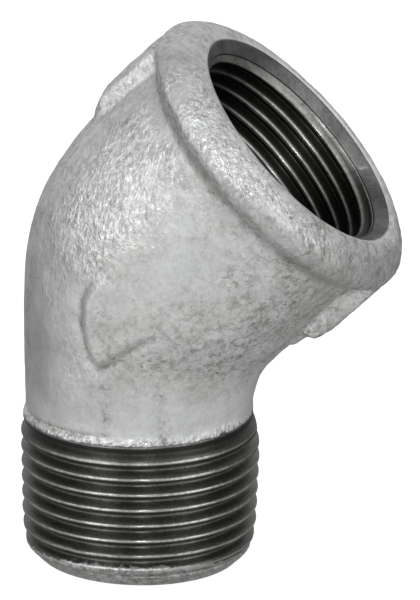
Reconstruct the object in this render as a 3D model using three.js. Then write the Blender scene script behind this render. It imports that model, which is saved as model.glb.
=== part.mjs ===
// 45 degree street elbow, 3/4 inch pipe thread (DN 20), beaded, malleable iron, hot-dip galvanized.
// One end is an R 3/4 external taper thread, the other an Rp 3/4 internal parallel thread.
// Millimetres, +Z up. The male end stands on z = 0 with its axis along Z; the socket leans
// 45 degrees towards +X. The casting is one piece of iron. Its zinc is two thin shells that share
// their inner faces with the iron: one outside, one in the waterway. Both threads are bare.
//
// A place on the elbow is given by s, the distance along the centre line from the male end, and
// an angle round it: 0 faces the throat (inside of the bend), 180 degrees the back.
import * as THREE from "three";
import { mergeVertices } from "three/addons/utils/BufferGeometryUtils.js";

const { clamp, radToDeg, smoothstep } = THREE.MathUtils;

// ---- centre line ----
const BEND = Math.PI / 4;
const MALE_LEG = 32.5; // male end to the crossing of the axes
const SOCKET_LEG = 24.4; // crossing of the axes to the socket face
const BEND_R = 26;
const BEND_TANGENT = BEND_R * Math.tan(BEND / 2); // either end of the bend to the crossing
const BEND_START = MALE_LEG - BEND_TANGENT;
const BEND_END = BEND_START + BEND_R * BEND;
const FACE = BEND_END + SOCKET_LEG - BEND_TANGENT; // s of the socket face
const AXIS_X = 7.595; // distance from the middle of the elbow's box to the male axis

// ---- thread, 14 threads per inch, 55 degree Whitworth form ----
const PITCH = 25.4 / 14;
const MAJOR_R = 26.441 / 2;
const MINOR_R = 24.117 / 2;
const THREAD_DEPTH = MAJOR_R - MINOR_R;
const GAUGE_Z = 9.5; // gauge plane of the taper thread, above the male end
const TAPER = 1 / 32; // radius per length, for a 1:16 taper on diameter
const HALF_FLAT = 1 / 12; // half the crest or root width, as a share of the pitch
const MALE_CREST_Z = 15.262; // height of a male crest at angle 0
const SOCKET_CREST_DEPTH = 2.57; // depth of a socket crest at angle 0

// ---- male end ----
const END_FACE_R = 11; // outer radius of the end face, where its 45 degree chamfer starts
const SHOULDER_Z = 16.6; // lower edge of the outer zinc
const RUNOUT_Z = 15.4; // the last thread starts to fade here

// ---- socket; depths are measured from its face ----
const MOUTH_R = 14.17; // outer edge of the lead-in chamfer
const CHAMFER_IN_R = 12.8; // its inner edge
const CHAMFER_DEPTH = 1.2;
const CHAMFER_SLOPE = (MOUTH_R - CHAMFER_IN_R) / CHAMFER_DEPTH;
const LEAD_SLOPE = 0.53; // radius per length of the cone from the chamfer to the full thread
const THREAD_FULL_DEPTH = 2.5;
const THREAD_FADE_DEPTH = 14.2;
const THREAD_END_DEPTH = 15.6; // the waterway starts here

const ZINC = 0.1; // thickness of the coating

// ---- waterway ----
const MALE_BORE_R = 9.4;
const WATERWAY_R = 11.2; // behind the socket thread
const WATERWAY_END = FACE - THREAD_END_DEPTH;
// [s, radius]
const BORE = [[0, MALE_BORE_R], [17, MALE_BORE_R], [24, 10.2], [32, 11], [WATERWAY_END, WATERWAY_R]];
const BORE_STATIONS = [0, 9, 17, 20.5, 24, 28, 32, 36, WATERWAY_END];

// ---- outer shape ----
// body radius on the back and in the throat: [s, radius]
const BACK = [
  [13, 13.62], [16.1, 13.27], [16.7, 13.08], [17.2, 12.92], [18, 12.87], [19, 12.9], [22, 13.0],
  [25, 13.38], [28, 14.28], [31, 15.42], [34, 16.22], [37, 16.68], [40, 16.82], [44, 16.85],
  [48, 16.8], [51, 16.7], [53.5, 15.4], [56, 13], [60, 13],
];
const THROAT = [
  [13, 13.4], [14.9, 13.1], [15.5, 12.95], [16.3, 12.7], [17, 12.45], [17.8, 12.33],
  [18.5, 12.33], [19.7, 12.6], [22, 13.3], [25, 14.06], [28, 14.83], [31, 15.4], [34, 15.88],
  [37, 16.1], [40, 16.15], [44, 16.08], [48, 15.97], [51, 15.9], [53.5, 14.9], [56, 12.8],
  [60, 12.8],
];
// what the two sides add to the mean of back and throat: [s, extra radius]
const SIDE_EXTRA = [[16, 0], [22, 0.05], [30, 0.15], [40, 0.2], [50, 0.25], [60, 0.25]];

// bead round the socket: [depth, radius]
const BEAD = [
  [0, 15.05], [0.12, 15.4], [0.35, 15.95], [0.75, 16.7], [1.2, 17.38], [1.85, 18.05],
  [2.6, 18.42], [3.3, 18.45], [4.0, 18.15], [4.5, 17.6], [4.9, 16.9], [5.4, 15.6], [6.4, 8],
];
const BEAD_THROAT_DROP = 0.2; // the bead is this much lower in the throat
const BEAD_BLEND = 0.35; // radius difference within which bead and body blend

// two short lugs under the bead, in the plane of the bend: [s, top radius]
const BACK_LUG = [
  [40.4, 16.9], [41.2, 17.2], [42, 17.8], [43, 18.25], [44, 18.45], [46, 18.5], [48, 18.5],
  [50, 18.55], [60, 18.5],
];
const THROAT_LUG = [
  [35, 16.05], [36.3, 16.55], [38, 16.72], [40, 16.92], [41, 17.2], [42, 17.67], [43, 18],
  [44, 18.17], [46, 18.23], [50, 18.2], [60, 18.15],
];
const LUG_HALF = 3.0; // nominal half width
const LUG_FLANK = [LUG_HALF - 0.5, LUG_HALF + 0.9]; // the lug falls away between these offsets
const BACK_LUG_START = [40.4, 41.8]; // s over which each lug rises
const THROAT_LUG_START = [34.4, 36.3];
const LUG_END = [FACE - 4.6, FACE - 3.4]; // both end under the bead
const LUG_MIN_COS = 0.8; // no lug further round than this cosine of the angle

// blank raised pad on the -Y side of the body: outline in [s, degrees round the centre line]
const PAD = [
  [25.9, 261], [27.2, 256], [29.5, 251.5], [32, 248.5], [34.6, 250], [36.4, 258], [36, 267],
  [34.4, 274], [32, 279], [29.8, 273.5], [27.4, 268],
];
const PAD_RISE = 0.55;
const PAD_MM_PER_DEGREE = 0.27; // arc length on the body
const PAD_EDGE = [-0.5, 0.7]; // the rise builds up over these distances inside the outline
const PAD_FADE = [30, 37]; // s over which the pad sinks into the body

// rings of the outer surface, from the shoulder to the socket's rim
const BODY_STATIONS = [
  SHOULDER_Z, 17.2, 18.2, 19.6, 21.7, 24.2, 26.2, 28.4, 30.6, 33, 35.5, 38, 40, 41.4, 42.8,
  44.4, 47,
];
const BEAD_DEPTHS = [5.6, 5.0, 4.5, 4.0, 3.3, 2.6, 1.85, 1.2, 0.75, 0.35, 0.12, 0];
const OUTER_STATIONS = [...BODY_STATIONS, ...BEAD_DEPTHS.map((depth) => FACE - depth)];

const RING_POINTS = 40;
const HELIX_SNAP = 0.12; // thread rows this near an end of their band are moved onto it
const WELD = 1e-3; // vertices closer than this are merged

// ---- curves ----
// monotone cubic through a table of [x, y], held level beyond its ends
function curve(table) {
  const last = table.length - 1;
  const widths = [];
  const slopes = [];
  for (let i = 0; i < last; i++) {
    widths.push(table[i + 1][0] - table[i][0]);
    slopes.push((table[i + 1][1] - table[i][1]) / widths[i]);
  }
  const tangents = new Array(last + 1).fill(0);
  tangents[0] = slopes[0];
  tangents[last] = slopes[last - 1];
  for (let i = 1; i < last; i++) {
    // the tangent stays level where the slope changes sign
    if (slopes[i - 1] * slopes[i] > 0) {
      const before = 2 * widths[i] + widths[i - 1];
      const after = widths[i] + 2 * widths[i - 1];
      tangents[i] = (before + after) / (before / slopes[i - 1] + after / slopes[i]);
    }
  }
  return (x) => {
    if (x <= table[0][0]) return table[0][1];
    if (x >= table[last][0]) return table[last][1];
    let i = 0;
    while (x > table[i + 1][0]) i++;
    const t = (x - table[i][0]) / widths[i];
    const t2 = t * t;
    const t3 = t2 * t;
    return (
      (2 * t3 - 3 * t2 + 1) * table[i][1] +
      (t3 - 2 * t2 + t) * widths[i] * tangents[i] +
      (3 * t2 - 2 * t3) * table[i + 1][1] +
      (t3 - t2) * widths[i] * tangents[i + 1]
    );
  };
}

// smooth step from 0 to 1 as x crosses a range
const ramp = (x, [from, to]) => smoothstep(x, from, to);

function smoothMax(a, b, blend) {
  const overlap = Math.max(blend - Math.abs(a - b), 0) / blend;
  return Math.max(a, b) + (overlap * overlap * blend) / 4;
}

// ---- outer surface ----
const sideExtra = curve(SIDE_EXTRA);
const beadR = curve(BEAD);
const boreR = curve(BORE);
const back = { bodyR: curve(BACK), lugR: curve(BACK_LUG), lugStart: BACK_LUG_START };
const throat = { bodyR: curve(THROAT), lugR: curve(THROAT_LUG), lugStart: THROAT_LUG_START };
const padOutline = PAD.map(([s, degrees]) => [s, degrees * PAD_MM_PER_DEGREE]);

// how far inside the pad's outline a place is, in mm along the surface (negative outside)
function padInside(s, angle) {
  const arc = radToDeg(angle) * PAD_MM_PER_DEGREE;
  let inside = false;
  let nearest = Infinity;
  padOutline.forEach(([s1, arc1], i) => {
    const [s2, arc2] = padOutline.at(i - 1);
    const ds = s2 - s1;
    const dArc = arc2 - arc1;
    // each edge crossed on the way out switches between inside and outside
    if (arc1 > arc !== arc2 > arc && s < (ds * (arc - arc1)) / dArc + s1) inside = !inside;
    const along = ((s - s1) * ds + (arc - arc1) * dArc) / (ds ** 2 + dArc ** 2);
    const t = clamp(along, 0, 1);
    nearest = Math.min(nearest, Math.hypot(s - s1 - t * ds, arc - arc1 - t * dArc));
  });
  return inside ? nearest : -nearest;
}

// outer radius of the coated elbow
function outerR(s, angle) {
  const cos = Math.cos(angle);
  const near = cos > 0 ? throat : back;
  const sideR = (back.bodyR(s) + throat.bodyR(s)) / 2 + sideExtra(s);
  let r = sideR + (near.bodyR(s) - sideR) * cos * cos;

  const lugR = near.lugR(s);
  if (lugR > r && Math.abs(cos) > LUG_MIN_COS) {
    const across = 1 - ramp(Math.abs(r * Math.sin(angle)), LUG_FLANK);
    const along = ramp(s, near.lugStart) * (1 - ramp(s, LUG_END));
    r += (lugR - r) * across * along;
  }
  r += PAD_RISE * ramp(padInside(s, angle), PAD_EDGE) * (1 - ramp(s, PAD_FADE));

  const bead = beadR(FACE - s) - BEAD_THROAT_DROP * Math.max(cos, 0) ** 2;
  return smoothMax(bead, r, BEAD_BLEND);
}

// ---- threads ----
// truncated 55 degree profile over one pitch: 0 at the crest, 1 at the root
function profile(phase) {
  const fromCrest = Math.abs(phase - Math.round(phase));
  return clamp((fromCrest - HALF_FLAT) / (0.5 - 2 * HALF_FLAT), 0, 1);
}
// ends of the crest and root flats
const FLAT_PHASES = [-HALF_FLAT, HALF_FLAT, 0.5 - HALF_FLAT, 0.5 + HALF_FLAT];

function maleR(z, angle) {
  const phase = (z - MALE_CREST_Z) / PITCH - angle / (2 * Math.PI);
  const neck = outerR(SHOULDER_Z, angle) - ZINC;
  let r = MAJOR_R + (z - GAUGE_Z) * TAPER - THREAD_DEPTH * profile(phase);
  r += (neck - r) * ramp(z, [RUNOUT_Z, SHOULDER_Z]);
  // the blank is smaller than the crest near the neck and at the end chamfer
  return Math.min(r, outerR(z, angle), END_FACE_R + z);
}

function socketR(s, angle) {
  const depth = FACE - s;
  const phase = (depth - SOCKET_CREST_DEPTH) / PITCH + angle / (2 * Math.PI);
  const cone = CHAMFER_IN_R - LEAD_SLOPE * (depth - CHAMFER_DEPTH);
  const thread = MINOR_R + THREAD_DEPTH * profile(phase);
  const r = cone + (thread - cone) * ramp(depth, [CHAMFER_DEPTH, THREAD_FULL_DEPTH]);
  const fade = ramp(depth, [THREAD_FADE_DEPTH, THREAD_END_DEPTH]);
  return r + (WATERWAY_R + ZINC - r) * fade;
}

// ---- points and rings ----
function point(s, r, angle) {
  const turned = clamp((s - BEND_START) / BEND_R, 0, BEND);
  const before = Math.min(s, BEND_START);
  const past = Math.max(s - BEND_END, 0);
  const sin = Math.sin(turned);
  const cos = Math.cos(turned);
  const toThroat = r * Math.cos(angle);
  return [
    BEND_R * (1 - cos) + past * sin + toThroat * cos,
    r * Math.sin(angle),
    before + BEND_R * sin + past * cos - toThroat * sin,
  ];
}

const angleOf = (j) => (2 * Math.PI * j) / RING_POINTS;

function ring(s, radius) {
  const radiusAt = typeof radius === "function" ? radius : () => radius;
  return Array.from({ length: RING_POINTS }, (_, j) => {
    const angle = angleOf(j);
    return point(s, radiusAt(s, angle), angle);
  });
}

// ---- mesh assembly ----
class Shell {
  constructor() {
    this.positions = [];
  }

  // turned over, a quad keeps the same diagonal, so two shells can share it
  quad(a, b, c, d, over) {
    const corners = over ? [a, c, b, a, d, c] : [a, b, c, a, c, d];
    for (const corner of corners) this.positions.push(...corner);
  }

  // bands joining each ring to the next
  bands(rings, over = false) {
    for (let i = 0; i < rings.length - 1; i++) {
      const low = rings[i];
      const high = rings[i + 1];
      for (let j = 0; j < RING_POINTS; j++) {
        const k = (j + 1) % RING_POINTS;
        this.quad(low[j], low[k], high[k], high[j], over);
      }
    }
  }

  // helical band: rows follow the thread and are held flat at both ends
  helix(from, to, crest, radius, over = false) {
    const firstTurn = Math.floor((from - crest) / PITCH) - 2;
    const lastTurn = Math.ceil((to - crest) / PITCH) + 1;
    const rows = [];
    for (let turn = firstTurn; turn <= lastTurn; turn++) {
      for (const phase of FLAT_PHASES) rows.push(crest + (turn + phase) * PITCH);
    }
    const hold = (s) => {
      if (s < from + HELIX_SNAP) return from;
      return s > to - HELIX_SNAP ? to : s;
    };
    const at = (i, j) => {
      const s = hold(rows[i] + (PITCH * j) / RING_POINTS);
      const angle = angleOf(j % RING_POINTS);
      return point(s, radius(s, angle), angle);
    };
    for (let i = 0; i < rows.length - 1; i++) {
      for (let j = 0; j < RING_POINTS; j++) {
        this.quad(at(i, j), at(i, j + 1), at(i + 1, j + 1), at(i + 1, j), over);
      }
    }
  }

  // closed geometry with shared vertices, empty triangles dropped and faces pointing out
  build() {
    const loose = new THREE.BufferGeometry();
    loose.setAttribute("position", new THREE.Float32BufferAttribute(this.positions, 3));
    const geometry = mergeVertices(loose, WELD);
    const index = geometry.index.array;
    const position = geometry.getAttribute("position");
    const vertex = (i) => new THREE.Vector3().fromBufferAttribute(position, i);
    const kept = [];
    let volume = 0; // six times the enclosed volume, negative if the faces point in
    for (let i = 0; i < index.length; i += 3) {
      const [a, b, c] = index.slice(i, i + 3);
      if (a === b || b === c || c === a) continue;
      kept.push(a, b, c);
      volume += vertex(a).dot(vertex(b).cross(vertex(c)));
    }
    if (volume < 0) {
      for (let i = 0; i < kept.length; i += 3) {
        [kept[i + 1], kept[i + 2]] = [kept[i + 2], kept[i + 1]];
      }
    }
    geometry.setIndex(kept);
    geometry.computeVertexNormals();
    return geometry;
  }
}

// ---- surfaces shared by the pieces ----
const skin = OUTER_STATIONS.map((s) => ring(s, outerR));

// point of the iron below point j of skin ring i
function ironUnder(i, j) {
  const angle = angleOf(j);
  const inset = (s, depth) => point(s - depth, outerR(s, angle) - ZINC, angle);
  if (i === 0) return inset(SHOULDER_Z, 0);
  if (i === skin.length - 1) return inset(FACE, ZINC);
  const vector = (row, column) => new THREE.Vector3(...skin[row].at(column % RING_POINTS));
  const up = vector(i + 1, j).sub(vector(i - 1, j));
  const across = vector(i, j + 1).sub(vector(i, j - 1));
  const outward = across.cross(up).normalize();
  return vector(i, j).addScaledVector(outward, -ZINC).toArray();
}
const iron = skin.map((row, i) => row.map((_, j) => ironUnder(i, j)));
const ironMouth = ring(FACE - ZINC, MOUTH_R - CHAMFER_SLOPE * ZINC);

const boreSkin = BORE_STATIONS.map((s) => ring(s, boreR));
const boreIron = BORE_STATIONS.map((s) => ring(s, (x) => boreR(x) + ZINC));

// ---- pieces ----
// from the male end face up the outside, over the rim and down the socket, then the bore
function casting() {
  const shell = new Shell();
  shell.bands([boreIron[0], ring(0, END_FACE_R)]);
  shell.helix(0, SHOULDER_Z, MALE_CREST_Z, maleR);
  shell.bands([...iron, ironMouth, ring(FACE - CHAMFER_DEPTH, CHAMFER_IN_R)]);
  shell.helix(WATERWAY_END, FACE - CHAMFER_DEPTH, FACE - SOCKET_CREST_DEPTH, socketR, true);
  shell.bands(boreIron, true);
  return shell.build();
}

// shoulder to rim, with its inner face on the iron
function outerZinc() {
  const shell = new Shell();
  shell.bands([iron[0], ...skin, ring(FACE, MOUTH_R), ironMouth, iron.at(-1)]);
  shell.bands(iron, true);
  return shell.build();
}

// male end to the foot of the socket thread
function waterwayZinc() {
  const shell = new Shell();
  shell.bands([boreSkin[0], ...boreIron, boreSkin.at(-1)]);
  shell.bands(boreSkin, true);
  return shell.build();
}

// ---- materials ----
const metal = (settings) => new THREE.MeshStandardMaterial(settings);
const cutIron = metal({ color: 0x4a4a48, roughness: 0.38, metalness: 0.9 });
const dippedZinc = metal({ color: 0xb4b7b6, roughness: 0.5, metalness: 0.75 });
const boreZinc = metal({ color: 0x9a9d9c, roughness: 0.6, metalness: 0.7 });

const elbow = new THREE.Group();
for (const [name, geometry, material] of [
  ["elbow_casting", casting(), cutIron],
  ["outer_zinc_coating", outerZinc(), dippedZinc],
  ["waterway_zinc_coating", waterwayZinc(), boreZinc],
]) {
  const mesh = new THREE.Mesh(geometry, material);
  mesh.name = name;
  mesh.position.x = -AXIS_X; // centres the elbow's box on x = 0
  elbow.add(mesh);
}

export default elbow;
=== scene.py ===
"""
45 degree street elbow with 3/4 inch pipe threads: an iron casting dipped in zinc.

Sizes are millimetres, and the meshes are written in metres. The male thread stands on z = 0
around a vertical axis, and the socket leans towards +x. `along` is the distance along the
centreline from the male end, `depth` the distance below the socket mouth. Angle 0 is the throat
(+x, inside of the bend), 180 degrees is the back and 270 degrees faces -y, near the camera.
"""

import math
from functools import cached_property

import bpy
import numpy as np
from mathutils import Matrix, Vector


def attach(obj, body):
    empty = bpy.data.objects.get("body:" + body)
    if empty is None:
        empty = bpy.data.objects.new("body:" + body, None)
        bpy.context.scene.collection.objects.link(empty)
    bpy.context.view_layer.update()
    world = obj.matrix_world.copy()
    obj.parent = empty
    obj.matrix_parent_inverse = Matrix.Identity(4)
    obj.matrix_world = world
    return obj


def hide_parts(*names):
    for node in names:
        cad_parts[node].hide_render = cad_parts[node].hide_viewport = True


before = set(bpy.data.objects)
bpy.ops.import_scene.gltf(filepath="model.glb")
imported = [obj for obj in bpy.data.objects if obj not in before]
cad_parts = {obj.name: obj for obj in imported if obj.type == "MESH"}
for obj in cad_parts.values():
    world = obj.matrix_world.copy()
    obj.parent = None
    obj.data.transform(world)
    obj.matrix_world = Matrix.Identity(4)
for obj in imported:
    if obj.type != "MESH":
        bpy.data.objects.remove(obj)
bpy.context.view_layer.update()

# ---- driving sizes ----

PITCH = 25.4 / 14
MAJOR_R, MINOR_R = 26.441 / 2, 24.117 / 2
THREAD_DEPTH = MAJOR_R - MINOR_R
GAUGE_Z, TAPER = 9.5, 1 / 32  # height of the nominal size, and rise of the radius per mm
MALE_CREST_Z, FEMALE_CREST_DEPTH = 15.262, 2.57  # a crest at angle 0

BEND, BEND_R = math.pi / 4, 26.0
MALE_LEG, SOCKET_LEG = 32.5, 24.4  # from each end to the corner of the axes
BEND_TANGENT = BEND_R * math.tan(BEND / 2)
BEND_START = MALE_LEG - BEND_TANGENT
BEND_END = BEND_START + BEND_R * BEND
MOUTH = BEND_END + SOCKET_LEG - BEND_TANGENT
AXIS_X = 7.595  # the origin's distance from the male axis

MALE_BORE_R, END_CHAMFER_R = 9.4, 11.08
CHAMFER_R, CHAMFER_IN_R, CHAMFER_DEPTH = 14.17, 12.8, 1.2
LEAD_CONE, LEAD_END, THREAD_START = 0.53, 2.5, 1.35  # cone slope, its end, first threaded depth
SOCKET_THREAD_DEPTH, SOCKET_END_DEPTH, WATERWAY_R = 14.2, 15.6, 11.2
SOCKET_END = MOUTH - SOCKET_END_DEPTH

SKIN = 0.12  # zinc thickness
IRON_GAP, BORE_GAP = 0.02, 0.01  # air between iron and zinc, outside and in the bore

# Outside radius at the back and at the throat: along, radius
BACK = [
    [13, 13.62], [16.1, 13.27], [16.7, 13.08], [17.2, 12.92], [18, 12.87], [19, 12.9], [22, 13.0],
    [25, 13.38], [28, 14.28], [31, 15.42], [34, 16.22], [37, 16.68], [40, 16.82], [44, 16.85],
    [48, 16.8], [51, 16.7], [53.5, 15.4], [56, 13], [60, 13]]
THROAT = [
    [13, 13.4], [14.9, 13.1], [15.5, 12.95], [16.3, 12.7], [17, 12.45], [17.8, 12.33],
    [18.5, 12.33], [19.7, 12.6], [22, 13.3], [25, 14.06], [28, 14.83], [31, 15.4], [34, 15.88],
    [37, 16.1], [40, 16.15], [44, 16.08], [48, 15.97], [51, 15.9], [53.5, 14.9], [56, 12.8],
    [60, 12.8]]
# Added to the mean of the two on the sides: along, mm
SIDE_EXTRA = [[16, 0], [22, 0.05], [30, 0.15], [40, 0.2], [50, 0.25], [60, 0.25]]
# Bead round the socket mouth: depth, radius
BEAD = [
    [0, 15.05], [0.12, 15.4], [0.35, 15.95], [0.75, 16.7], [1.2, 17.38], [1.85, 18.05],
    [2.6, 18.42], [3.3, 18.45], [4.0, 18.13], [4.5, 17.6], [4.9, 17.0], [5.5, 16.1],
    [6.4, 14.6], [7.4, 12]]
BEAD_BLEND = 1.3
# Lugs at the back and at the throat: along, radius of the top
BACK_LUG = [
    [40.4, 16.9], [41.2, 17.2], [42, 17.8], [43, 18.25], [44, 18.45], [46, 18.5], [48, 18.5],
    [50, 18.55], [60, 18.5]]
THROAT_LUG = [
    [35, 16.05], [36.3, 16.55], [38, 16.72], [40, 16.92], [41, 17.2], [42, 17.67], [43, 18],
    [44, 18.17], [46, 18.23], [50, 18.2], [60, 18.15]]
LUG_HALF = 3.0
# Outline of the raised pad: along, degrees
PAD = [
    [25.9, 261], [27.2, 256], [29.5, 251.5], [32, 248.5], [34.6, 250], [36.4, 258],
    [36, 267], [34.4, 274], [32, 279], [29.8, 273.5], [27.4, 268]]
PAD_RISE, PAD_MM_PER_DEG = 0.55, 0.27
# Waterway: along, radius
BORE = [[0, MALE_BORE_R], [17, MALE_BORE_R], [24, 10.2], [32, 11], [SOCKET_END, WATERWAY_R]]

# Stations of rings that the zinc or the iron hides
HIDDEN = [MOUTH - depth for depth in (0.5, 1.4, 2.6, 4.0, 5.0, 6.2)]
HIDDEN += [46, 43, 40, 36, 32, 28, 24, 20.5]
BORE_STATIONS = np.concatenate([[9.0], np.arange(17.0, 40.0, 1.0)])

# Rows of one thread turn, in pitches from the crest
ROOT_ROWS = [0.385, 0.44, 0.5, 0.56, 0.615]
MALE_ROWS = [-0.11, -0.075, -0.04, 0, 0.04, 0.075, 0.11, 0.2, 0.29] + ROOT_ROWS + [0.7, 0.79]
FEMALE_ROWS = [-0.11, -0.055, 0, 0.055, 0.11, 0.24] + ROOT_ROWS + [0.76]


# ---- curves and noise ----

def curve(table):
    """smooth curve through the rows of a table, without overshoot and level beyond its ends"""
    x, y = np.array(table, float).T
    gap = np.diff(x)
    slope = np.diff(y) / gap
    tangent = np.zeros(len(x))
    tangent[0], tangent[-1] = slope[0], slope[-1]
    for i in range(1, len(x) - 1):
        if slope[i - 1] * slope[i] > 0:
            before, after = 2 * gap[i] + gap[i - 1], gap[i] + 2 * gap[i - 1]
            tangent[i] = (before + after) / (before / slope[i - 1] + after / slope[i])

    def value(at):
        at = np.clip(np.asarray(at, float), x[0], x[-1])
        i = np.clip(np.searchsorted(x, at, side="right") - 1, 0, len(gap) - 1)
        part = (at - x[i]) / gap[i]
        square = part * part
        cube = square * part
        return ((2 * cube - 3 * square + 1) * y[i]
                + (cube - 2 * square + part) * gap[i] * tangent[i]
                + (3 * square - 2 * cube) * y[i + 1]
                + (cube - square) * gap[i] * tangent[i + 1])

    return value


def ease(start, end, x):
    """smooth rise from 0 at start to 1 at end; start may be the larger"""
    part = np.clip((np.asarray(x, float) - start) / (end - start), 0, 1)
    return part * part * (3 - 2 * part)


def hump(x, centre, width):
    return np.exp(-(((np.asarray(x, float) - centre) / width) ** 2))


def degrees(angle):
    return np.degrees(angle) % 360


def spread(*values):
    return np.broadcast_arrays(*(np.asarray(value, float) for value in values))


GRADIENTS = np.random.RandomState(11).normal(size=(256, 3))
GRADIENTS /= np.linalg.norm(GRADIENTS, axis=1)[:, None]


def noise(points, scale, seed, octaves=1, gain=0.5):
    """gradient noise of points in mm, about -1 to 1; scale is cells per mm, or three of them"""
    total, amount = 0.0, 1.0
    grid = np.asarray(points, float) * scale
    for octave in range(octaves):
        cell = np.floor(grid).astype(np.int64)
        inside = grid - cell
        fade = inside * inside * inside * (inside * (inside * 6 - 15) + 10)
        value = 0.0
        for corner in np.ndindex(2, 2, 2):
            x, y, z = (cell[..., i] + corner[i] for i in range(3))
            key = x * 73856093 ^ y * 19349663 ^ z * 83492791 ^ (seed + octave * 17) * 40503
            key = (key ^ (key >> 13)) * 1274126177 & 0x7FFFFFFF
            key ^= key >> 15
            gradient = GRADIENTS[key & 255]
            x, y, z = (gradient[..., i] * (inside[..., i] - corner[i]) for i in range(3))
            dot = x + y + z
            x, y, z = (fade[..., i] if corner[i] else 1 - fade[..., i] for i in range(3))
            value = value + x * y * z * dot
        total = total + value * 1.7 * amount
        amount *= gain
        grid = grid * 2.03 + 11.7
    return total


# ---- shape of the elbow ----

back_r, throat_r, side_extra = curve(BACK), curve(THROAT), curve(SIDE_EXTRA)
back_lug, throat_lug = curve(BACK_LUG), curve(THROAT_LUG)
bead_r, bore_r = curve(BEAD), curve(BORE)


def point(along, radius, angle):
    """position in mm, on the section square to the centreline"""
    along, radius, angle = spread(along, radius, angle)
    turn = np.clip((along - BEND_START) / BEND_R, 0, BEND)
    straight, past = np.minimum(along, BEND_START), np.maximum(along - BEND_END, 0)
    inward = radius * np.cos(angle)
    return np.stack([
        BEND_R * (1 - np.cos(turn)) + past * np.sin(turn) + inward * np.cos(turn),
        radius * np.sin(angle),
        straight + BEND_R * np.sin(turn) + past * np.cos(turn) - inward * np.sin(turn),
    ], -1)


def pad_inside(along, deg):
    """mm inside the pad's outline, negative outside"""
    x, y = along, deg * PAD_MM_PER_DEG
    inside = np.zeros(np.broadcast(x, y).shape, bool)
    nearest = np.full(inside.shape, 1e9)
    corners = [(corner[0], corner[1] * PAD_MM_PER_DEG) for corner in PAD]
    for i, (x1, y1) in enumerate(corners):
        x2, y2 = corners[i - 1]
        run, rise = x2 - x1, y2 - y1
        inside ^= ((y1 > y) != (y2 > y)) & (x < run * (y - y1) / (rise + 1e-12) + x1)
        part = np.clip(((x - x1) * run + (y - y1) * rise) / (run ** 2 + rise ** 2), 0, 1)
        nearest = np.minimum(nearest, np.hypot(x - x1 - part * run, y - y1 - part * rise))
    return np.where(inside, nearest, -nearest)


def outer_r(along, angle):
    """radius of the coated casting before the male thread is cut"""
    along, angle = spread(along, angle)
    cos, sin = np.cos(angle), np.sin(angle)
    back, throat = back_r(along), throat_r(along)
    side = (back + throat) / 2 + side_extra(along)
    radius = side + (np.where(cos > 0, throat, back) - side) * cos * cos

    top = np.where(cos > 0, throat_lug(along), back_lug(along))
    lug = 1 - ease(LUG_HALF - 0.5, LUG_HALF + 0.9, np.abs(radius * sin))
    reach = np.where(cos > 0, ease(34.4, 36.3, along), ease(40.4, 41.8, along))
    reach = reach * (1 - ease(MOUTH - 4.6, MOUTH - 3.4, along))
    on_lug = (top > radius) & (np.abs(cos) > 0.8)
    radius = np.where(on_lug, radius + (top - radius) * lug * reach, radius)

    pad = pad_inside(along, degrees(angle))
    radius = radius + PAD_RISE * ease(-0.5, 0.7, pad) * (1 - ease(30, 37, along))

    bead = bead_r(MOUTH - along) - 0.2 * np.maximum(cos, 0) ** 2
    overlap = np.maximum(BEAD_BLEND - np.abs(bead - radius), 0) / BEAD_BLEND
    return np.maximum(bead, radius) + overlap * overlap * BEAD_BLEND / 4


def under(along):
    """depth of the hidden iron below the outside: thin at both visible edges, deeper between"""
    deeper = 0.22 * ease(16.8, 17.3, along) + 0.33 * ease(17.5, 20, along)
    return SKIN + deeper * (1 - ease(MOUTH - 1.2, MOUTH - 0.4, along))


def profile(phase):
    """rounded 55 degree form: 0 at the crest, 1 at the root; its sizes are in pitches"""
    round_r, height = 0.137329, 0.640327
    tangent_x, tangent_drop = 0.121812, 0.073917  # where the rounding meets the flank
    x = np.abs(phase - np.round(phase))
    to_root = 0.5 - x
    crest = round_r - np.sqrt(np.maximum(round_r * round_r - x * x, 0))
    root = height - (round_r - np.sqrt(np.maximum(round_r * round_r - to_root * to_root, 0)))
    flank = (tangent_drop
             + (x - tangent_x) * (height - 2 * tangent_drop) / (0.5 - 2 * tangent_x))
    return np.where(x < tangent_x, crest, np.where(to_root < tangent_x, root, flank)) / height


def male_phase(z, angle):
    return (z - MALE_CREST_Z) / PITCH - angle / (2 * math.pi)


def female_phase(depth, angle):
    return (depth - FEMALE_CREST_DEPTH) / PITCH + angle / (2 * math.pi)


def zinc_edge(angle):
    """lower end of the zinc: the last crest, closed smoothly over the first 150 degrees"""
    deg = degrees(angle)
    on_crest = MALE_CREST_Z + PITCH * deg / 360
    closing = MALE_CREST_Z + PITCH - (PITCH - PITCH * 150 / 360) * ease(0, 150, deg)
    return np.where(deg >= 150, on_crest, closing)


def end_height(z, angle):
    """height above the male end, following the first turn"""
    deg = degrees(angle)
    turn = np.where(deg < 120, 1 - 2 / 3 * ease(0, 120, deg), deg / 360)
    return z - 0.6 * PITCH * (turn - 0.75)


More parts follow.
